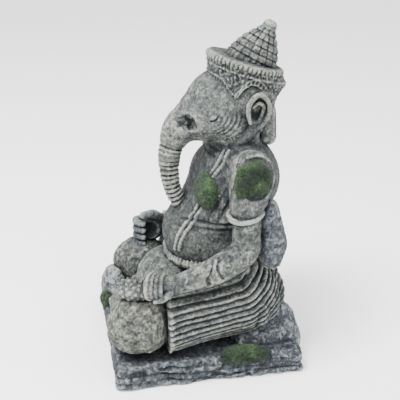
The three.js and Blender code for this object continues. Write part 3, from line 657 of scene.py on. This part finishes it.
# Weather cracks on the outside of the forearm, each a line of (y, z) from the middle of its solid.
CRACKS = (
    ((-6.1, 6.3), (-2.4, 3.0), (-3.4, -2.0), (-5.8, -6.9), (-5.4, -11.0)),
    ((-2.1, 6.6), (0.8, 2.7), (-0.7, -2.0), (2.3, -7.7)),
    ((-5.5, 5.5), (-1.5, 6.1), (2.6, 4.4)),
)
CRACK_DEPTH = 1.3
for side, word in ((1, "left"), (-1, "right")):
    name = word + "_upper_arm"
    b = Block(*low_high(name))
    d = solid(b, name, soft=1.8, grow=0.6)
    c = mid(name)
    y, z = b.y - c[1] - 0.5, b.z - (low_high(name)[1][2] - 12.5)
    away = np.sqrt((y / 10.5) ** 2 + (z / 11.0) ** 2)
    outside = np.clip((side * (b.x - c[0]) - 3) / 4, 0, 1)
    wall = np.exp(-(((away - 1.12) / 0.09) ** 2)) * np.clip((z + 6) / 4, 0, 1)
    d = d + outside * (1.6 * np.clip((1.02 - away) / 0.12, 0, 1) - 0.8 * wall)
    piece(word + "_shoulder", b, d, [name], "stone_grey", tone=-0.1)

    name = word + "_armlet"
    low, high = low_high(name)
    b = Block(low, high)
    d = solid(b, name, soft=0.7, grow=0.3)
    c = mid(name)
    tilted = (b.z - c[2]) - 0.21 * (b.y - c[1])
    d = groove(d, tilted, 0.5, 0.4)
    piece(word + "_armlet_band", b, d, [name], "stone_grey", rough=0.1, tone=0.06)

    name = word + "_forearm"
    low, high = low_high(name)
    b = Block(low, high)
    d = solid(b, name, soft=2.0, grow=0.7)
    if side > 0:
        d = limb(b, tapered(LEFT_FOREARM_ROUTE, LEFT_FOREARM_RADII, 5)) + 0.3 * grain(b, 8, 2)
        for track in CRACKS:
            path = curve([mid(name)[1:] + np.array(p) for p in track], 4)
            line = 9.0
            for p, q in zip(path, path[1:]):
                v = q - p
                t = np.clip(((b.y - p[0]) * v[0] + (b.z - p[1]) * v[1]) / (v @ v), 0, 1)
                line = np.minimum(line, np.hypot(b.y - p[0] - t * v[0], b.z - p[1] - t * v[1]))
            gap = (line + 0.5 * grain(b, 2.4, 9)) / (0.75 + 0.4 * grain(b, 5, 8))
            d = d + CRACK_DEPTH * np.clip((b.x - 46) / 3, 0, 1) * np.exp(-(gap**2))
    piece(word + "_forearm_skin", b, d, [name], "stone_grey", rough=0.28, tone=-0.04)

    name = word + "_rear_arm"
    low, high = low_high(name)
    b = Block(low, high)
    d = solid(b, name, soft=1.8, grow=0.5)
    broken = np.clip((low[2] + 12 - b.z) / 10, 0, 1)
    d = d + broken * (0.9 * grain(b, 3.0, 4) + 0.8 * grain(b, 6, 5))
    piece(word + "_rear_arm_stump", b, d, [name], "stone_dark", rough=0.3)

for name in ("bracelet_front", "bracelet_back"):
    low, high = low_high(name)
    b = Block(low, high)
    d = solid(b, name, soft=0.6, grow=0.3)
    c = mid(name)
    angle = np.arctan2(b.z - c[2], b.x - c[0])
    d = d - 0.25 * np.cos(angle * 22)
    piece(name + "_beaded", b, d, [name], "stone_ochre", rough=0.06)

# ---- hands --------------------------------------------------------------------------
low, high = low_high("left_hand")
b = Block(low - 2, high + 4)
fist = np.array([high[0] - 6.0, high[1] - 10.5, high[2] - 3.2])
wrist = fist + np.array([1.0, 6.5, 0.4])
d = limb(b, [(wrist, 5.2), (fist, 5.3)])
d = blend(d, egg(b, fist + np.array([-0.2, -2.0, 0.2]), (5.4, 6.0, 6.0)), 1.5)
for i in range(4):
    y = fist[1] - 7.4 + 2.5 * i
    bow = [(-0.8, 3.4, 6.4 - 0.4 * i), (3.2, 1.2, 5.2), (5.8 + 0.3 * i, 0, 0.4), (5.4 + 0.2 * i, 0.6, -3.8),
           (3.0, 2.4, -6.4 + 0.3 * i)]
    path = [np.array([fist[0] + x, y + dy, fist[2] + dz]) for x, dy, dz in bow]
    d = blend(d, limb(b, tapered(path, [1.15, 1.25, 1.3, 1.2, 0.9], 4)), 0.2)
thumb = [wrist + np.array([4.0, -1.0, -2.6]), fist + np.array([6.2, 1.8, -5.0]),
         fist + np.array([6.2, -2.6, -6.4])]
d = blend(d, limb(b, tapered(thumb, [2.2, 1.9, 1.3], 4)), 0.3)
piece("left_hand_fingers", b, d, ["left_hand"], "stone_grey", rough=0.16, tone=-0.12)

low, high = low_high("right_hand")
b = Block(low - 1, high + 3)
palm = at("right_hand", 0.42, 0.55, 0.45)
d = egg(b, palm, (4.6, 8.5, 9.5))
d = cut(d, egg(b, palm + np.array([4.6, -1.0, -1.0]), (3.4, 5.5, 6.0)), 1.0)
for i in range(4):
    z = high[2] - 6.8 - i * 4.5
    finger = [np.array([palm[0] - 1.0, palm[1] - 5.5, z]), np.array([palm[0] + 0.5, low[1] + 2.0, z + 0.2]),
              np.array([palm[0] + 4.0, low[1] + 1.6, z]), np.array([palm[0] + 7.0, low[1] + 5.0, z - 0.4])]
    d = blend(d, limb(b, tapered(finger, [2.3, 2.5, 2.4, 1.9], 3)), 0.4)
thumb = [palm + np.array([0, 6.0, 6.0]), palm + np.array([3.5, 1.0, 10.0]),
         palm + np.array([6.5, -5.5, 10.8])]
d = blend(d, limb(b, tapered(thumb, [2.8, 2.9, 2.2], 4)), 0.6)
# Coated in the dark stone and toned down: painted shade on the hand turned in towards the body.
piece("right_hand_fingers", b, d, ["right_hand"], "stone_dark", rough=0.12, tone=-0.1)

low, high = low_high("sweets")
b = Block(low - 1, high + 5)
c = mid("sweets") + np.array([5.5, 3.8, 1.8])
d = egg(b, c, (9.8, 9.4, 5.6))
BEADS, GOLDEN_TURN = 90, 2.4
for i in range(BEADS):
    rise = 1 - 2 * (i + 0.5) / BEADS
    flat = math.sqrt(1 - rise * rise)
    turned = GOLDEN_TURN * i
    ball = c + np.array([9.4 * flat * math.cos(turned), 9.0 * flat * math.sin(turned), 5.2 * rise])
    d = blend(d, sphere(b, ball, 1.15), 0.4)
d = d + 0.6 * grain(b, 2.6, 2)
piece("sweets_bunch", b, d, ["sweets"], "stone_grey", rough=0.14, tone=-0.12)

# ---- plinth and rocks ---------------------------------------------------------------
low, high = low_high("plinth")
b = Block(low, high)
c, size = mid("plinth"), half("plinth")
x, y, z = np.abs(b.x - c[0]), np.abs(b.y - c[1]), b.z
worn = 1.5 * grain(b, 15, 1) + 1.1 * grain(b, 6, 2) + 0.6 * grain(b, 2.6, 3)
BED_HEIGHT = 3.4  # mm between the rock's layers
bed = (z + 1.6 * grain(b, 18, 5)) / BED_HEIGHT
layer = np.floor(bed)
off_bed = (bed - np.round(bed)) * BED_HEIGHT
seam = np.exp(-((off_bed / 0.6) ** 2)) * np.clip(0.15 + 1.8 * grain(b, 11, 7), 0, 1)
shelf = 1.1 * np.abs(np.sin(layer * 2.1 + 1.9 * grain(b, 14, 6))) + 1.2 * seam
inset = np.clip((z - 8.5) / 5.5, 0, 1) ** 2 * 2.2
qx = x - (size[0] - 3.6) + shelf + inset
qy = y - (size[1] - 3.6) + shelf + inset
outward = np.sqrt(np.maximum(qx, 0) ** 2 + np.maximum(qy, 0) ** 2)
wall = outward + np.minimum(np.maximum(qx, qy), 0) - 3.2 + 0.8 * worn
d = -blend(-wall, -(z - high[2] + 0.3 + 0.35 * grain(b, 8, 8)), 1.0)
d = np.maximum(d, 0.0 - z)
piece("plinth_rock", b, d, ["plinth"], "stone_dark", rough=0.32, pits=0.25, tone=-0.17)

# The boulder beside the left thigh: an egg with flat faces knocked off, each a direction and its distance.
REAR_ROCK_MIDDLE, REAR_ROCK_HALF = np.array([36.0, 35.5, 12.0]), (17.5, 19.5, 15.0)
REAR_ROCK_FACETS = (
    ((0.8, 0.1, 0.6), 45.5),
    ((0.3, 0.75, 0.6), 61.0),
    ((0.62, -0.45, 0.64), 29.0),
    ((1, 0, 0.12), 53.6),
)
for name in ("rear_rock_left", "rear_rock_right", "front_rock_right", "front_rock_left"):
    low, high = low_high(name)
    if name == "rear_rock_left":
        b = Block(low - (0, 16, 2), high + (2, 0, 3))
        d = blend(solid(b, name, soft=0.8, grow=1.2), egg(b, REAR_ROCK_MIDDLE, REAR_ROCK_HALF), 5)
        for way, reach in REAR_ROCK_FACETS:
            way = np.array(way) / np.linalg.norm(way)
            d = cut(d, -(b.x * way[0] + b.y * way[1] + b.z * way[2] - reach), 1.5)
    else:
        b = Block(low, high)
        d = solid(b, name, soft=0.8, grow=0.5)
    d = d + 0.9 * grain(b, 8, 3) + 0.45 * grain(b, 3.4, 5) + 0.9 * np.abs(grain(b, 9, 9))
    piece(name + "_weathered", b, d, [name], "stone_dark", rough=0.3, pits=0.3, tone=0.16)

MOSSES = ("moss_shoulder", "moss_chest", "moss_plinth", "moss_rock")
for name in MOSSES:
    b = Block(*low_high(name))
    if name == "moss_shoulder":
        d = egg(b, mid(name) - np.array([2.0, 0, 0]), (4.8, 9.6, 10.2))
    elif name == "moss_chest":
        b = Block(low_high(name)[0] - 6, low_high(name)[1] + 6)
        d = egg(b, mid(name) + np.array([3.0, 1.2, -1.5]), (10.5, 7.4, 10.0), about_x(15))
    else:
        d = solid(b, name, soft=0.8, grow=0.7)
    d = d + 1.5 * grain(b, 5.5, 2) + 0.6 * grain(b, 2.2, 6) + 0.3 * grain(b, 1.2, 7)
    piece(name + "_mat", b, d, [name], "moss", rough=0.3, pits=0.0)

# ------------------------------------------------------------------ whole figure: hollows, for the dark wash and painted shade
all_low = np.min([item["block"].first for item in made], 0)
all_high = np.max([item["block"].first + item["block"].shape for item in made], 0)
all_low -= all_low % 2
coarse_shape = (all_high - all_low) // 2 + 2
occupied = np.zeros(coarse_shape, np.float32)
for item in made:
    first = item["block"].first - all_low
    start = first % 2
    inner = item["d"][start[0]::2, start[1]::2, start[2]::2]
    place = (first + start) // 2
    region = tuple(slice(p, p + n) for p, n in zip(place, inner.shape))
    occupied[region] = np.maximum(occupied[region], np.clip(0.5 - inner, 0, 1))
# Blurred crowding of the whole figure darkens hollows and the gaps between parts: the cast's dark wash
# together with painted shade.
wide_wash_and_shade = blur(occupied, 1.5)
near_wash_and_shade = blur(occupied, 0.6)


# ------------------------------------------------------------------ materials
def socket(node, name, value):
    node.inputs[name].default_value = value


def ramp(nodes, stops):
    node = nodes.new("ShaderNodeValToRGB")
    node.color_ramp.elements.remove(node.color_ramp.elements[0])
    for i, (place, colour) in enumerate(stops):
        element = node.color_ramp.elements[0] if i == 0 else node.color_ramp.elements.new(place)
        element.position = place
        element.color = (*colour, 1)
    return node


def maths(nodes, links, kind, a, b):
    """A maths node on two sockets or numbers; returns its output socket."""
    node = nodes.new("ShaderNodeMath")
    node.operation = kind
    for place, value in enumerate((a, b)):
        if hasattr(value, "links"):
            links.new(value, node.inputs[place])
        else:
            node.inputs[place].default_value = value
    return node.outputs[0]


def stone(name, dark, body, light, tone=0.0, warm=0.0):
    """Cast resin: a dark wash in the hollows and painted shade where the figure crowds in, a pale dry-brushed
    coat on what stands out.
    """
    material = bpy.data.materials.new(name)
    material.use_nodes = True
    nodes, links = material.node_tree.nodes, material.node_tree.links
    shader = nodes["Principled BSDF"]
    place = nodes.new("ShaderNodeTexCoord")
    wide = nodes.new("ShaderNodeAttribute")
    wide.attribute_name = "wash_and_shade"
    near = nodes.new("ShaderNodeAttribute")
    near.attribute_name = "crease"

    def noise(scale, detail, roughness):
        node = nodes.new("ShaderNodeTexNoise")
        socket(node, "Scale", scale)
        socket(node, "Detail", detail)
        socket(node, "Roughness", roughness)
        links.new(place.outputs["Object"], node.inputs["Vector"])
        return node.outputs["Fac"]

    speck = noise(2100, 3, 0.8)
    patch = noise(900, 3, 0.7)
    cloud = noise(38, 2, 0.5)
    # The wide crowding darkens hollows and gaps between parts: painted shade over the cast's wash.
    total = maths(nodes, links, "MULTIPLY_ADD", wide.outputs["Fac"], -0.8)
    total.node.inputs[2].default_value = 0.4
    # Local creases darken and edges lighten, as the wash and dry brushing; the crease value also holds
    # painted shade between parts and each piece's tone.
    first = maths(nodes, links, "MULTIPLY_ADD", near.outputs["Fac"], -2.3)
    first.node.inputs[2].default_value = 1.62 + tone
    level = maths(nodes, links, "ADD", total, first)
    for source, amount in ((speck, 1.6), (patch, 1.0), (cloud, 0.4)):
        centred = maths(nodes, links, "SUBTRACT", source, 0.5)
        scaled = maths(nodes, links, "MULTIPLY", centred, amount)
        level = maths(nodes, links, "ADD", level, scaled)
    shade = tuple(0.45 * p + 0.55 * q for p, q in zip(dark, body))
    sheen = tuple(0.65 * p + 0.35 * q for p, q in zip(body, light))
    tones = ramp(nodes, [(0.02, dark), (0.30, shade), (0.52, body), (0.74, sheen), (0.98, light)])
    links.new(level, tones.inputs["Fac"])
    stain = nodes.new("ShaderNodeMix")
    stain.data_type = "RGBA"
    stain.blend_type = "MULTIPLY"
    tint = ramp(nodes, [(0.35, (1.0, 1.0, 1.0)), (0.62, (1.0, 0.94 - 0.05 * warm, 0.80 - 0.16 * warm))])
    links.new(noise(45, 3, 0.55), tint.inputs["Fac"])
    socket(stain, "Factor", 0.45)
    links.new(tones.outputs["Color"], stain.inputs["A"])
    links.new(tint.outputs["Color"], stain.inputs["B"])
    links.new(stain.outputs["Result"], shader.inputs["Base Color"])
    rough = nodes.new("ShaderNodeMapRange")
    socket(rough, "To Min", 0.95)
    socket(rough, "To Max", 0.72)
    links.new(speck, rough.inputs["Value"])
    links.new(rough.outputs["Result"], shader.inputs["Roughness"])
    socket(shader, "Specular IOR Level", 0.2)
    height = maths(nodes, links, "ADD", speck, maths(nodes, links, "MULTIPLY", noise(600, 4, 0.65), 1.3))
    bumped = nodes.new("ShaderNodeBump")
    socket(bumped, "Strength", 0.55)
    socket(bumped, "Distance", 0.0005)
    links.new(height, bumped.inputs["Height"])
    links.new(bumped.outputs["Normal"], shader.inputs["Normal"])
    return material


def moss(name):
    """Flock: dark green, paler in patches."""
    material = bpy.data.materials.new(name)
    material.use_nodes = True
    nodes, links = material.node_tree.nodes, material.node_tree.links
    shader = nodes["Principled BSDF"]
    place = nodes.new("ShaderNodeTexCoord")
    fine = nodes.new("ShaderNodeTexNoise")
    socket(fine, "Scale", 900)
    socket(fine, "Detail", 4)
    broad = nodes.new("ShaderNodeTexNoise")
    socket(broad, "Scale", 110)
    socket(broad, "Detail", 3)
    for node in (fine, broad):
        links.new(place.outputs["Object"], node.inputs["Vector"])
    mixed = maths(nodes, links, "ADD", maths(nodes, links, "MULTIPLY", fine.outputs["Fac"], 0.5),
                  maths(nodes, links, "MULTIPLY", broad.outputs["Fac"], 0.5))
    tones = ramp(nodes, [(0.38, (0.002, 0.007, 0.003)), (0.5, (0.009, 0.025, 0.008)),
                         (0.62, (0.040, 0.078, 0.026))])
    links.new(mixed, tones.inputs["Fac"])
    links.new(tones.outputs["Color"], shader.inputs["Base Color"])
    socket(shader, "Roughness", 0.95)
    socket(shader, "Sheen Weight", 0.08)
    bumped = nodes.new("ShaderNodeBump")
    socket(bumped, "Strength", 0.8)
    socket(bumped, "Distance", 0.0006)
    links.new(fine.outputs["Fac"], bumped.inputs["Height"])
    links.new(bumped.outputs["Normal"], shader.inputs["Normal"])
    return material


# Dark end of the ramps, reached in hollows and between parts: the cast's wash and painted shade.
WASH_AND_SHADE = (0.011, 0.013, 0.016)
COLD_WASH_AND_SHADE = (0.009, 0.011, 0.015)
LOOKS = {
    "stone_grey": stone("stone_grey_cast", WASH_AND_SHADE, (0.055, 0.062, 0.060), (0.245, 0.258, 0.240)),
    "stone_pale": stone("stone_pale_cast", WASH_AND_SHADE, (0.060, 0.067, 0.065), (0.25, 0.258, 0.238), tone=0.02),
    "stone_dark": stone("stone_dark_cast", COLD_WASH_AND_SHADE, (0.042, 0.049, 0.058), (0.20, 0.217, 0.225)),
    "stone_ochre": stone("stone_ochre_cast", WASH_AND_SHADE, (0.058, 0.064, 0.058), (0.25, 0.258, 0.218), 0.02, 0.5),
    "moss": moss("moss_flock"),
}


# ------------------------------------------------------------------ meshes
def finish_piece(item):
    """Mesh a kept block with stone grain on its surface; returns its points and their normals."""
    block = item["block"]
    grid = vdb.FloatGrid(background=3.0)
    grid.copyFromArray(item["d"], ijk=tuple(int(i) for i in block.first))
    points, quads = grid.convertToQuads(isovalue=0.0)
    points = points.astype(np.float64) * STEP
    quads = quads.astype(np.int64)
    first, second, third = (points[quads[:, corner]] for corner in range(3))
    if (first * np.cross(second - first, third - first)).sum() < 0:
        quads = quads[:, ::-1]
    normal = normals_of(points, quads)
    fine = grain_at(points, 1.1, 1) * 0.5 + grain_at(points, 2.3, 2) * 0.5
    pit = np.clip(np.abs(grain_at(points, 1.7, 3)) * 2.2 - 0.9, 0, 1)
    shift = item["rough"] * fine - item["pits"] * pit
    floor = points[:, 2] < 0.05
    shift[floor] = 0
    moved = points + normal * shift[:, None]
    moved[:, 2] = np.maximum(moved[:, 2], 0)
    places = (moved / STEP - all_low) / 2
    # Per-point colour values: crowding of the whole figure and local creases, which darken hollows and gaps
    # between parts with the wash and painted shade.
    wash_and_shade = trilinear(wide_wash_and_shade, places)
    own = blur(np.clip(0.5 - item["d"] / STEP, 0, 1), 0.75)
    crease = 0.55 * trilinear(own, moved / STEP - block.first) + 0.45 * trilinear(near_wash_and_shade, places)
    crease = crease - 0.3 * shift - 0.43 * item["tone"]
    obj = mesh_object(item["name"], moved, quads, {"wash_and_shade": wash_and_shade, "crease": crease})
    obj.data.materials.append(LOOKS[item["slot"]])
    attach(obj, "root")
    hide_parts(*item["replaces"])
    return moved, normal


MOST_FIBRES = 5200  # on one moss mat
for item in made:
    points, normal = finish_piece(item)
    if item["slot"] != "moss":
        continue
    # Flock: short tapering fibres standing on the mat.
    chance = np.random.default_rng(len(points))
    picks = chance.choice(len(points), min(len(points), MOST_FIBRES), replace=False)
    base = points[picks]
    lean = normal[picks] + chance.normal(0, 0.45, (len(picks), 3))
    lean /= np.linalg.norm(lean, axis=1)[:, None]
    side_a = np.cross(lean, [0.3, 0.5, 0.8])
    side_a /= np.linalg.norm(side_a, axis=1)[:, None]
    side_b = np.cross(lean, side_a)
    reach = chance.uniform(0.5, 1.25, (len(picks), 1))
    foot_ring = [base - 0.2 * lean + 0.13 * (math.cos(turn) * side_a + math.sin(turn) * side_b)
                 for turn in (0, 2.094, 4.189)]
    corners = np.stack(foot_ring + [base + reach * lean], 1).reshape(-1, 3)
    start = np.arange(len(picks))[:, None] * 4
    faces = np.concatenate([start + np.array(f) for f in ((0, 1, 3), (1, 2, 3), (2, 0, 3), (0, 2, 1))])
    fibres = mesh_object(item["name"].replace("_mat", "_fibres"), corners, faces)
    fibres.data.materials.append(LOOKS["moss"])
    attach(fibres, "root")
    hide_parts(*item["replaces"])

# ------------------------------------------------------------------ floor, light, camera
scene = bpy.context.scene
floor_mesh = bpy.data.meshes.new("floor")
floor_mesh.from_pydata([(-3, -3, 0), (3, -3, 0), (3, 3, 0), (-3, 3, 0)], [], [(0, 1, 2, 3)])
floor = bpy.data.objects.new("floor", floor_mesh)
scene.collection.objects.link(floor)
paper = bpy.data.materials.new("paper_floor")
paper.use_nodes = True
paper.node_tree.nodes["Principled BSDF"].inputs["Base Color"].default_value = (0.97, 0.97, 0.97, 1)
paper.node_tree.nodes["Principled BSDF"].inputs["Roughness"].default_value = 0.9
floor_mesh.materials.append(paper)

world = bpy.data.worlds.new("studio")
scene.world = world
world.use_nodes = True
world.node_tree.nodes["Background"].inputs["Color"].default_value = (1, 1, 1, 1)
world.node_tree.nodes["Background"].inputs["Strength"].default_value = 2.0

target = Vector((0, 0.0038, 0.0871))


def direction(azimuth, elevation):
    """Unit vector towards a place round from the front to the statue's left, and above level, in degrees."""
    a, e = azimuth * DEG, elevation * DEG
    return Vector((math.sin(a) * math.cos(e), -math.cos(a) * math.cos(e), math.sin(e)))


def lamp(name, azimuth, elevation, distance, size, power):
    light = bpy.data.lights.new(name, "AREA")
    light.size = size
    light.energy = power
    obj = bpy.data.objects.new(name, light)
    offset = direction(azimuth, elevation) * distance
    obj.location = target + offset
    obj.rotation_euler = (-offset).to_track_quat("-Z", "Y").to_euler()
    scene.collection.objects.link(obj)


lamp("key", azimuth=25, elevation=62, distance=0.9, size=0.4, power=22.0)
lamp("fill", azimuth=120, elevation=45, distance=1.0, size=0.7, power=6.0)

camera_data = bpy.data.cameras.new("camera")
camera_data.lens = 72
camera_data.sensor_width = 36
camera_data.clip_start = 0.01
camera = bpy.data.objects.new("camera", camera_data)
offset = direction(79, 22) * 0.461
camera.location = target + offset
camera.rotation_euler = (-offset).to_track_quat("-Z", "Y").to_euler()
scene.collection.objects.link(camera)
scene.camera = camera
